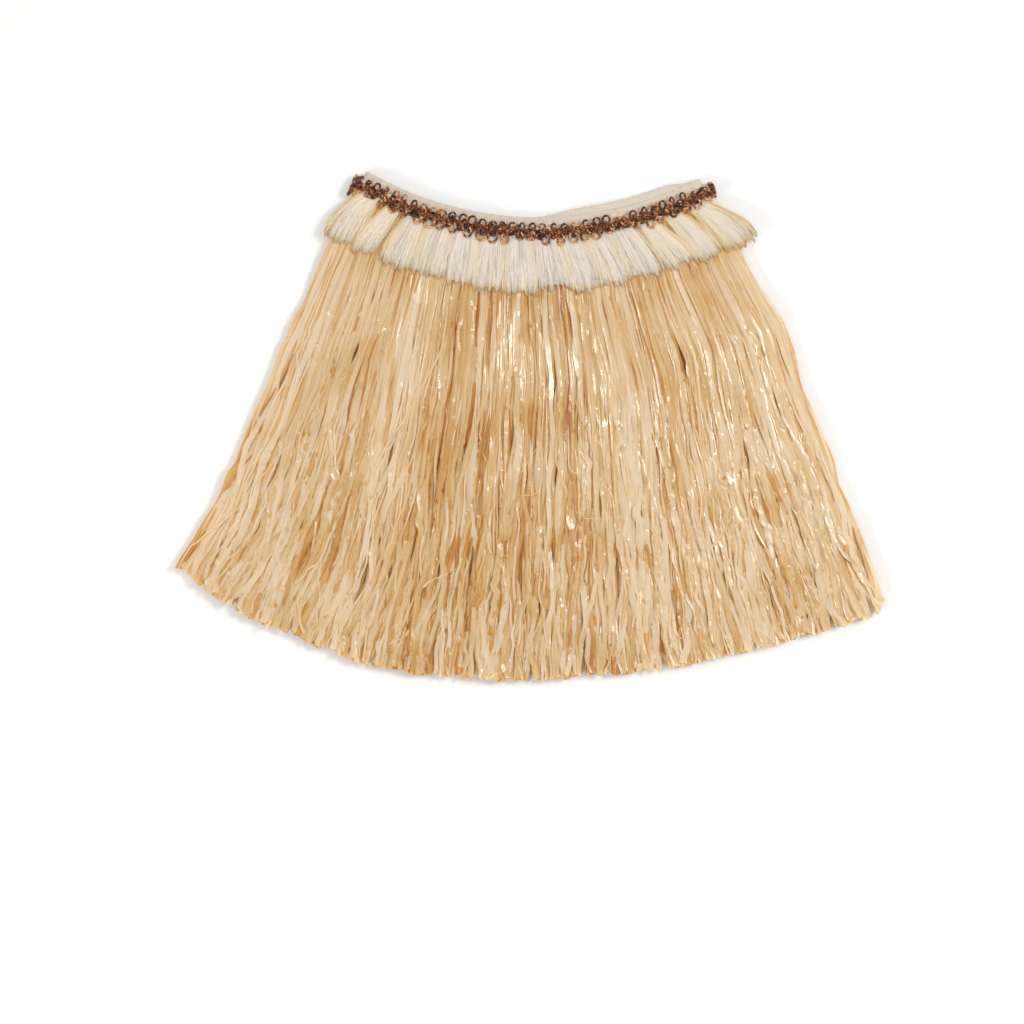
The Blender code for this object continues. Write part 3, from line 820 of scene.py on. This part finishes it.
def wrap_band(name, layer, columns, rows, pucker=0.0, seed=0):
    """A closed wall round the tube: a torus whose ring is laid round it and whose section is drawn out to
    the layer's. pucker lifts the outer face in soft upright ripples."""
    bpy.ops.object.select_all(action="DESELECT")
    bpy.ops.mesh.primitive_torus_add(major_segments=columns, minor_segments=rows + 2, major_radius=1,
                                     minor_radius=0.2, generate_uvs=True)
    band = bpy.context.active_object
    band.name = name
    band.data.uv_layers[0].name = BAKE_MAP
    edit_all(bpy.ops.mesh.subdivide, number_cuts=1)

    at = np.empty(len(band.data.vertices) * 3, np.float32)
    band.data.vertices.foreach_get("co", at)
    x, y, z = at.reshape(-1, 3).T
    ring = np.mod(np.arctan2(y, x), 2 * math.pi) / (2 * math.pi)
    share = np.mod(np.arctan2(z, np.hypot(x, y) - 1), 2 * math.pi) / (2 * math.pi)
    corners = (0, 0.03, 0.47, 0.5, 0.53, 0.97, 1)
    middle, inner, outer = (layer["inner"] + layer["outer"]) / 2, layer["inner"], layer["outer"]
    top, bottom = layer["top"], layer["bottom"]
    offset = np.interp(share, corners, (middle, outer, outer, middle, inner, inner, middle))
    below = np.interp(share, corners, (top, top, bottom, bottom, bottom, top, top))
    distance = ring * tube_length(outer)
    rng = np.random.default_rng(seed)
    ripple = sum(
        rng.uniform(0.3, 1.0) * wave(ring, 1 / n, rng.uniform(*PHASES)) for n in rng.integers(50, 110, 7)
    ) / 2.6
    offset = offset + pucker * ripple * (offset > middle)
    below = below + 0.6 * pucker * ripple * np.sign(below)
    angle, turn = round_tube(distance, outer)
    points = tube_point(angle, turn, offset, below, APEX)
    band.data.vertices.foreach_set("co", points.astype(np.float32).ravel())
    band.data.update()
    edit_all(bpy.ops.mesh.normals_make_consistent, inside=False)
    bpy.ops.object.shade_smooth_by_angle(angle=math.radians(50))
    return band


# Cream fringe

def tuft_shapes(tufts, back, rng):
    """A table of the tufts: where each hangs, and how it is gathered, spreads, leans, bulges and ends."""
    number = np.arange(tufts)
    root = FOLD_LEFT + (FOLD_RIGHT - FOLD_LEFT) * (number + 0.5) / tufts
    share = (number + TUFT_INSET) / (tufts - 1 + 2 * TUFT_INSET)
    sides_open = smooth(0.20, 0.42, np.abs(share - 0.5))
    spread = CREAM_HEM_WIDTH / tufts / 2 * rng.uniform(1.02, 1.28, tufts)
    spread = spread * (1 - sides_open * rng.uniform(0.05, 0.30, tufts))
    longer = rng.uniform(-0.0034, 0.0036, tufts)
    lean = rng.normal(0, 0.0012, tufts)
    plump = rng.uniform(0.8, 1.25, tufts)
    gathered = rng.uniform(0.0100, 0.0122, tufts) * (1 - sides_open)
    gathered = gathered + rng.uniform(0.0046, 0.0080, tufts) * sides_open
    shift = back_shift(root) if back else 0 * root
    return dict(root=root, share=share, shift=shift, sides_open=sides_open, spread=spread, longer=longer,
                lean=lean, plump=plump, gathered=gathered)


def tuft_path(shape, below):
    """Angle and radius of a tuft's middle at these distances below the waist line."""
    left, right = edges_at(CREAM_EDGES, below)
    spreads = 1 - (1 - np.clip((below - CREAM_HEAD["bottom"]) / 0.042, 0, 1)) ** 2
    angle = shape["root"] + (left + (right - left) * shape["share"] - shape["root"]) * spreads
    return angle, waist_radius(shape["root"]) + below - shape["shift"]


def tuft_half_width(shape, below):
    open_out = smooth(0.000, 0.040, below) ** 0.8
    return shape["gathered"] + (shape["spread"] - shape["gathered"]) * open_out


def tuft_top(plump, across, below, back):
    """The height of the top of a tuft's section, across from -1 to 1."""
    bulge = np.sqrt(np.clip(1 - across ** 2, 0, 1)) * plump
    if back:
        return BACK_LOWEST + 0.0013 * bulge
    rises, falls = smooth(0.0, 0.016, below), smooth(0.038, CREAM_HEM, below)
    return TUFT_TOP + (0.0014 * rises - 0.0006 * falls) * bulge + 0.0008 * rises - 0.0006 * falls


def thread_map(below):
    """V on the map at these distances below the waist line."""
    return np.clip(MAP_LOW + 0.97 * (below - THREAD_START) / (CREAM_HEM + BACK_LIFT), MAP_LOW, MAP_HIGH)


def lay_threads(look, name, shapes, threads, stations, rng, back):
    """A piece of fine threads that hang in locks, some locks to each tuft."""
    tufts = len(shapes["root"])
    tuft = np.repeat(np.arange(tufts), threads)
    count = len(tuft)
    mine = {key: values[tuft][:, None] for key, values in shapes.items()}
    each, own_wave = draws_for(rng, count)

    # The locks, and where in its lock each thread lies
    lock = rng.integers(0, LOCKS, count)
    lock_across = np.linspace(-0.90, 0.90, LOCKS) + rng.uniform(-0.12, 0.12, (tufts, LOCKS))
    lock_longer = rng.uniform(-0.0034, 0.0016, (tufts, LOCKS))
    lock_rises = rng.uniform(-0.0001, 0.0002, (tufts, LOCKS))
    lock_tone = rng.uniform(-0.10, 0.06, (tufts, LOCKS))
    middle = lock_across[tuft, lock][:, None]
    from_lock = np.clip(rng.normal(0, 0.15, count), -0.38, 0.38)[:, None]
    depth = rng.random(count)[:, None] ** 1.5

    # How far it reaches: locks and tufts are cut at a slant or to a point
    is_short = rng.random(count) < 0.35
    short = np.where(is_short, rng.uniform(0, 0.008, count), rng.uniform(0, 0.0018, count))
    slant, point = rng.normal(0, 0.0014, tufts), rng.uniform(0, 0.0030, tufts)
    length = CREAM_HEM + mine["longer"] + mine["shift"] + (lock_longer[tuft, lock] - short)[:, None]
    length = length + slant[tuft][:, None] * middle - point[tuft][:, None] * middle ** 2
    length = length - 0.0022 * (from_lock / 0.2) ** 2
    below = THREAD_START + (length - THREAD_START) * np.linspace(0, 1, stations)

    # Its path, which draws in to the middle of its lock, strays and waves
    angle, radius = tuft_path(mine, below)
    across = middle + from_lock * (1 - 0.55 * smooth(0.012, CREAM_HEM, below))
    aside = tuft_half_width(mine, below) * across + mine["lean"] * smooth(0, CREAM_HEM, below)
    free = smooth(0.008, CREAM_HEM, below)
    stray = rng.normal(0, 1, (count, 1)) * np.where(rng.random((count, 1)) < 0.05, 2.6, 0.7)
    aside = aside + free * stray * 0.0007
    aside = aside + 0.00022 * free * own_wave(below, THREAD_WAVE)
    height = tuft_top(mine["plump"], across, below, back) - depth * (0.0004 if back else 0.0006)
    if not back:
        height = height + lock_rises[tuft, lock][:, None] * free
    height = height + 0.00012 * free * own_wave(below, THREAD_BUMP)
    path = fan_point(angle + aside / radius, radius, height)

    _, right, up = path_frames(path, UPWARDS)
    right, up = turned(right, up, each(*PHASES) + 0 * below)
    tapered = 1 - 0.3 * smooth(0.6, 1.0, np.linspace(0, 1, stations))
    thick = look.thread * rng.uniform(0.38, 0.62, (count, 1, 1)) * tapered[None, :, None]
    points = ring_points(path, right, up, thick, THREAD_CORNERS)

    tan = np.where(rng.random(count) < 0.07, 0.45, 0.0)
    tone = 0.76 + 0.25 * rng.random(count) + lock_tone[tuft, lock] - tan
    # Threads towards a tuft's sides, in the open tufts near the skirt's sides and deep in a tuft are
    # darker: painted shade.
    tone = tone - 0.14 * mine["sides_open"][:, 0] - 0.42 * np.abs(across[:, 0]) ** 2.6
    tone = tone - 0.25 * depth[:, 0] * rng.random(count)
    strip = (np.clip(tone, 0, 0.99) * CREAM_STRIPS).astype(int)
    return join_strands(name, points, (0, 0.33, 0.67, 1), thread_map(below), strip, CREAM_STRIPS)


def lay_cores(name, shapes, back):
    """A piece of soft cores, one to a tuft, which close the tufts under their threads."""
    mine = {key: values[:, None] for key, values in shapes.items()}
    hem = CREAM_HEM - 0.0055 + mine["longer"] + mine["shift"]
    below = THREAD_START + (hem - THREAD_START) * np.linspace(0, 1, 11)
    angle, radius = tuft_path(mine, below)
    tops, unders = CORE_POINTS
    sides = np.concatenate([np.linspace(-1, 1, tops), np.linspace(0.7, -0.7, unders)])
    aside = 0.92 * tuft_half_width(mine, below)[..., None] * sides
    aside = aside + (mine["lean"] * smooth(0, CREAM_HEM, below))[..., None]
    top = tuft_top(mine["plump"][..., None], sides, below[..., None], back) - (0.0003 if back else 0.0008)
    low = BACK_LOWEST if back else CORE_LOW
    height = np.where(np.arange(tops + unders) < tops, np.maximum(top, low + 0.0001), low)
    core = fan_point(angle[..., None] + aside / radius[..., None], radius[..., None], height)
    around = np.concatenate([np.linspace(0, 1, tops), np.linspace(0.85, 0.15, unders), [0]])
    strip = np.full(len(below), CREAM_STRIPS // 2)
    return join_strands(name, core, around, thread_map(below), strip, CREAM_STRIPS)


def make_tufts(look, name, tufts, threads, stations, seed, back=False):
    """A piece of fine threads gathered in tufts, each over a soft core that closes it."""
    rng = np.random.default_rng(seed)
    shapes = tuft_shapes(tufts, back, rng)
    piece = lay_threads(look, name, shapes, threads, stations, rng, back)
    cores = lay_cores(name + "_core", shapes, back)
    bpy.ops.object.select_all(action="DESELECT")
    cores.select_set(True)
    piece.select_set(True)
    bpy.context.view_layer.objects.active = piece
    bpy.ops.object.join()
    return piece


# Braid

def sweep_cord(distance, below, offset, cord):
    """The corners of a cord through these distances round the tube, below the waist line and out of the
    tube's middle, cut into a piece for each loop."""
    angle, turn = round_tube(distance, BRAID_OUT)
    path = tube_point(angle, turn, offset, below, APEX)
    out = np.stack([np.sin(turn) * np.cos(angle), np.sin(turn) * np.sin(angle), np.cos(turn)], -1)
    _, right, up = path_frames(path, out)
    points = ring_points(path, right, up, cord / 2, CORD_CORNERS)
    pieces = (len(path) - 1) // LOOP_STEPS
    take = np.arange(pieces)[:, None] * LOOP_STEPS + np.arange(LOOP_STEPS + 1)[None, :]
    return points[take]


def braid_row(look, whole, seed, loops, side, shift, reach, swing, tones, flat, past):
    """The corners and strips of one row of loops, where a full row has the whole number of them."""
    rng = np.random.default_rng(seed)
    count = int(whole * loops)
    pitch = tube_length(BRAID_OUT) / count
    phase = np.arange(count * LOOP_STEPS + 1) / LOOP_STEPS
    shows = np.cos(round_tube(phase * pitch, BRAID_OUT)[1]) * 0.5 + 0.5
    lean = rng.uniform(-0.24, 0.24, count)
    grown = rng.uniform(0.84, 1.14, count)
    is_flat = rng.random(count) < flat
    reach = look.reach * reach * grown * np.where(is_flat, 0.35, 1)
    swing = look.swing * swing * rng.uniform(0.8, 1.15, count) * np.where(is_flat, 0.6, 1)
    twist = rng.uniform(-1, 1, count)
    lean, reach, swing, twist = (
        np.interp(phase, np.arange(count + 1), np.append(x, x[0])) for x in (lean, reach, swing, twist)
    )
    spin = 2 * math.pi * phase
    distance = (phase + shift + lean) * pitch + swing * np.sin(spin)
    below = side * (reach * (1 - np.cos(spin)) / 2 - past) + 0.0007 * wave(distance, 0.061, seed)
    lift = CORD_LIFT + FRONT_LIFT * shows
    offset = CORD_OUT + FRONT_OUT * shows + lift * (0.8 * np.sin(spin) + 0.4 * twist)
    points = sweep_cord(distance, below, offset, look.cord)
    return points, (rng.uniform(*tones, count) * CORD_STRIPS).astype(int)


def make_braid(look):
    """Looped braid: a cord of loops above, one below, and two whose loops cross the middle."""
    whole = round(tube_length(BRAID_OUT) / look.pitch)
    rows = [braid_row(look, whole, seed, **row) for seed, row in enumerate(BRAID_ROWS, 1)]
    points, strip = (np.concatenate(part) for part in zip(*rows))
    along = MAP_LOW + (MAP_HIGH - MAP_LOW) * np.linspace(0, 1, LOOP_STEPS + 1)
    along = np.broadcast_to(along, (len(points), LOOP_STEPS + 1))
    around = np.linspace(0, 1, CORD_CORNERS + 1)
    return join_strands("looped_braid", points, around, along, strip, CORD_STRIPS)


# Operators

class SKIRT_OT_stage(bpy.types.Operator):
    """Lays the floor, and sets the camera and the lights"""
    bl_idname = "skirt.stage"
    bl_label = "Stage"

    def execute(self, context):
        look = context.scene.skirt_stage
        bpy.ops.object.select_all(action="DESELECT")
        bpy.ops.mesh.primitive_plane_add(size=14, location=(0, 0, 0))
        floor = context.active_object
        floor.name = "floor"
        material, tree, shader = new_material("floor_paper", 0.9)
        noise = add_node(tree, "ShaderNodeTexNoise", {"Scale": 3.0, "Detail": 2.0})
        place = add_node(tree, "ShaderNodeTexCoord")
        tree.links.new(place.outputs["Object"], noise.inputs["Vector"])
        floor_colour = tuple(look.floor)
        softer = tuple(x * 0.985 for x in floor_colour)
        paint(tree, shader, noise.outputs["Fac"], (0.3, softer), (0.7, floor_colour))
        floor.data.materials.append(material)

        camera_over = CAMERA_HEIGHT - PHOTO_LEVEL
        bpy.ops.object.camera_add(location=(*PHOTO_MIDDLE, CAMERA_HEIGHT), rotation=(0, 0, 0))
        camera = context.active_object
        camera.name = "camera"
        camera.data.sensor_width = 36
        camera.data.lens = camera.data.sensor_width * camera_over / PHOTO_WIDTH
        context.scene.camera = camera

        lights = (
            ("key", (1.15, 0.35, 1.9), 0.52, look.key), ("top", (-0.1, 0.3, 2.9), 2.4, look.top),
            ("fill", (-1.5, -0.8, 1.5), 0.5, look.fill),
        )
        for name, spot, across, energy in lights:
            aim = (-Vector(spot)).to_track_quat("-Z", "Y").to_euler()
            bpy.ops.object.light_add(type="AREA", location=spot, rotation=aim)
            light = context.active_object
            light.name = name
            light.data.size = across
            light.data.energy = energy
        world = bpy.data.worlds.new("room")
        world.use_nodes = True
        room = world.node_tree.nodes["Background"]
        room.inputs["Color"].default_value = (1, 0.99, 0.97, 1)
        room.inputs["Strength"].default_value = look.sky
        context.scene.world = world
        context.scene.view_settings.view_transform = "Standard"
        return {"FINISHED"}


class SKIRT_OT_waistband(bpy.types.Operator):
    """Makes the ribbed elastic waistband"""
    bl_idname = "skirt.waistband"
    bl_label = "Waistband"

    def execute(self, context):
        look = context.scene.skirt_band
        band = wrap_band("waistband_elastic", WAISTBAND, look.columns, rows=8, pucker=look.ruche, seed=31)
        weave = woven_material("elastic", look.pale, look.dark, ribs=420, rows=40)
        dress(band, weave, "waistband_elastic", "waistband")
        return {"FINISHED"}


class SKIRT_OT_straw(bpy.types.Operator):
    """Makes the straw's heading tape and its ribbons, front and back"""
    bl_idname = "skirt.straw"
    bl_label = "Straw"

    def execute(self, context):
        look = context.scene.skirt_straw
        film = straw_material(look)
        pieces = [
            # Lower ribbons get darker tones and the upper and loose ones paler: painted shade for depth in
            # the layer.
            make_ribbons(look, "straw_lower", look.lower, 44, (0.15, 0.45), (0.0, 0.32), 41, gather=0.2),
            make_ribbons(look, "straw_middle", look.middle, 90, (0.35, 0.75), (0.10, 0.75), 42, gather=0.9),
            make_ribbons(look, "straw_upper", look.upper, 110, (0.65, 0.98), (0.20, 1.0), 43, strays=0.12,
                         gather=1.1),
            make_ribbons(look, "straw_loose", look.loose, 115, (0.9, 1.06), (0.5, 1.0), 44, wander=1.4,
                         thin=0.65, strays=0.45, slope=0.15, gather=0.6, hooks=0.10),
            make_ribbons(look, "straw_back", look.back, 44, (0.0, 1.0), (0.1, 0.9), 45, back=True),
        ]
        for piece in pieces:
            dress(piece, film, "straw", "straw_fringe")
        tape = wrap_band("straw_heading", STRAW_HEAD, columns=200, rows=4, pucker=0.0001, seed=32)
        # The tape's dark colour is painted shade between its ribs.
        pale, dark = display(226, 196, 146), display(196, 150, 92)
        weave = woven_material("straw_tape", pale, dark, ribs=300, rows=12)
        dress(tape, weave, "straw", "straw_fringe")
        return {"FINISHED"}


class SKIRT_OT_cream(bpy.types.Operator):
    """Makes the cream fringe's heading tape and its tufts, front and back"""
    bl_idname = "skirt.cream"
    bl_label = "Cream Fringe"

    def execute(self, context):
        look = context.scene.skirt_cream
        fibre = cream_material(look)
        pieces = [
            make_tufts(look, "cream_front", look.tufts, look.threads, 9, 51),
            make_tufts(look, "cream_back", look.back_tufts, look.back_threads, 7, 52, back=True),
        ]
        for piece in pieces:
            dress(piece, fibre, "cream_fibre", "cream_fringe")
        tape = wrap_band("cream_heading", CREAM_HEAD, columns=200, rows=4, pucker=0.0001, seed=33)
        # The tape's dark colour is painted shade between its ribs.
        pale, dark = display(232, 222, 202), display(206, 186, 150)
        weave = woven_material("cream_tape", pale, dark, ribs=300, rows=12)
        dress(tape, weave, "cream_fibre", "cream_fringe")
        return {"FINISHED"}


class SKIRT_OT_braid(bpy.types.Operator):
    """Makes the looped braid"""
    bl_idname = "skirt.braid"
    bl_label = "Braid"

    def execute(self, context):
        look = context.scene.skirt_braid
        dress(make_braid(look), cord_material(look), "braid_cord", "braid")
        return {"FINISHED"}


class SKIRT_PT_panel(bpy.types.Panel):
    """Lists the skirt's pieces and the stage, with their settings"""
    bl_label = "Straw Skirt"
    bl_idname = "SKIRT_PT_panel"
    bl_space_type = "VIEW_3D"
    bl_region_type = "UI"
    bl_category = "Straw Skirt"

    def draw(self, context):
        for operator, settings, _ in PARTS:
            box = self.layout.box()
            box.operator(operator.bl_idname)
            group = getattr(context.scene, settings)
            for name in group.__annotations__:
                box.prop(group, name)


PARTS = (
    (SKIRT_OT_stage, "skirt_stage", STAGE_PG_look), (SKIRT_OT_waistband, "skirt_band", BAND_PG_look),
    (SKIRT_OT_straw, "skirt_straw", STRAW_PG_look), (SKIRT_OT_cream, "skirt_cream", CREAM_PG_look),
    (SKIRT_OT_braid, "skirt_braid", BRAID_PG_look),
)
OPERATORS, SETTINGS, GROUPS = zip(*PARTS)
CLASSES = (*GROUPS, *OPERATORS, SKIRT_PT_panel)


def register():
    for made in CLASSES:
        bpy.utils.register_class(made)
    for name, group in zip(SETTINGS, GROUPS):
        setattr(bpy.types.Scene, name, bpy.props.PointerProperty(type=group))


def unregister():
    for name in SETTINGS:
        delattr(bpy.types.Scene, name)
    for made in reversed(CLASSES):
        bpy.utils.unregister_class(made)


def main():
    register()
    bpy.ops.skirt.stage()
    bpy.ops.skirt.waistband()
    bpy.ops.skirt.straw()
    bpy.ops.skirt.cream()
    bpy.ops.skirt.braid()


if __name__ == "__main__":
    main()
